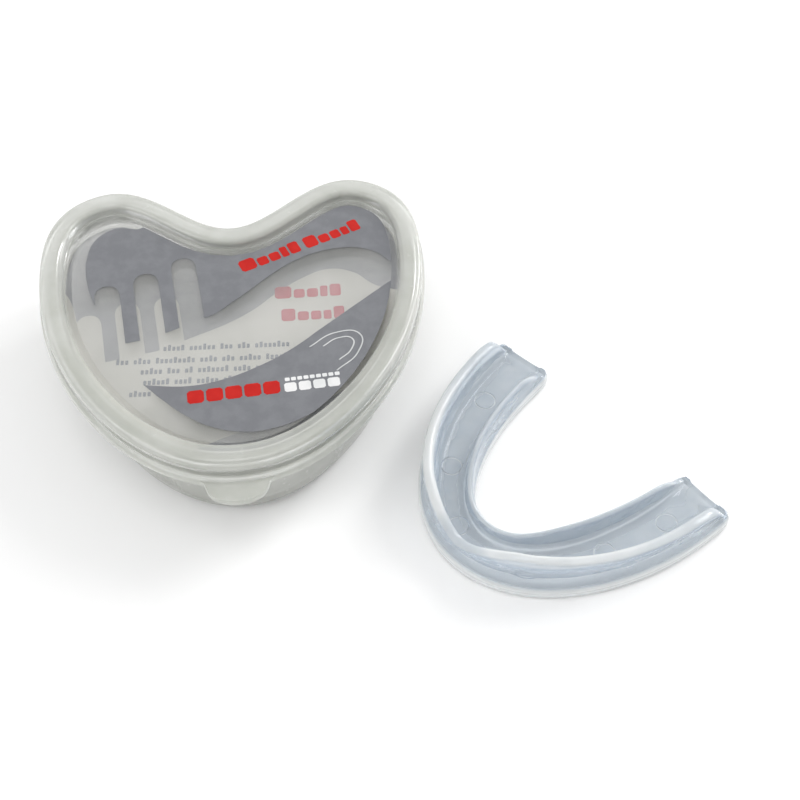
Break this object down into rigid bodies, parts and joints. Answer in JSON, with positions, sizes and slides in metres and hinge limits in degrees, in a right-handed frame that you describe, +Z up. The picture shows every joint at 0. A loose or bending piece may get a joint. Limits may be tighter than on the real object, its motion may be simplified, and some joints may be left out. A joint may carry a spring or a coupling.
{
  "type": "mouthguard with case",
  "caption": "Clear U-shaped boil-and-bite mouthguard lying beside its heart-shaped translucent snap-lid case, with a printed lid label and a card inside.",
  "frame": {"origin": "middle of the case's flat base, on the surface it stands on", "axes": "+Z up, +Y towards the notch between the case's two lobes, -Y towards its finger tab, +X towards the mouthguard"},
  "size_m": [0.1415, 0.0995, 0.025],
  "materials": {
    "tub": "natural polypropylene, milky and translucent, satin",
    "lid": "natural polypropylene, milky and translucent, polished",
    "label": "clear film with grey, red and white printing",
    "card": "uncoated white card with grey and pink printing",
    "guard": "clear EVA, soft and glossy"
  },
  "bodies": {
    "tub": {"case_tub": "tub"},
    "lid": {"case_lid": "lid", "lid_label": "label"},
    "card": {"insert_card": "card"},
    "guard": {"mouthguard": "guard"}
  },
  "joints": [
    {"name": "lid_lift", "type": "slide", "parent": "tub", "child": "lid", "axis": [0, 0, 1], "range_m": [0, 0.045]},
    {"name": "card_rise", "type": "slide", "parent": "tub", "child": "card", "axis": [0, 0, 1], "range_m": [0, 0.0026]},
    {"name": "guard_lift", "type": "slide", "parent": "tub", "child": "guard", "axis": [0, 0, 1], "range_m": [0, 0.06]}
  ]
}
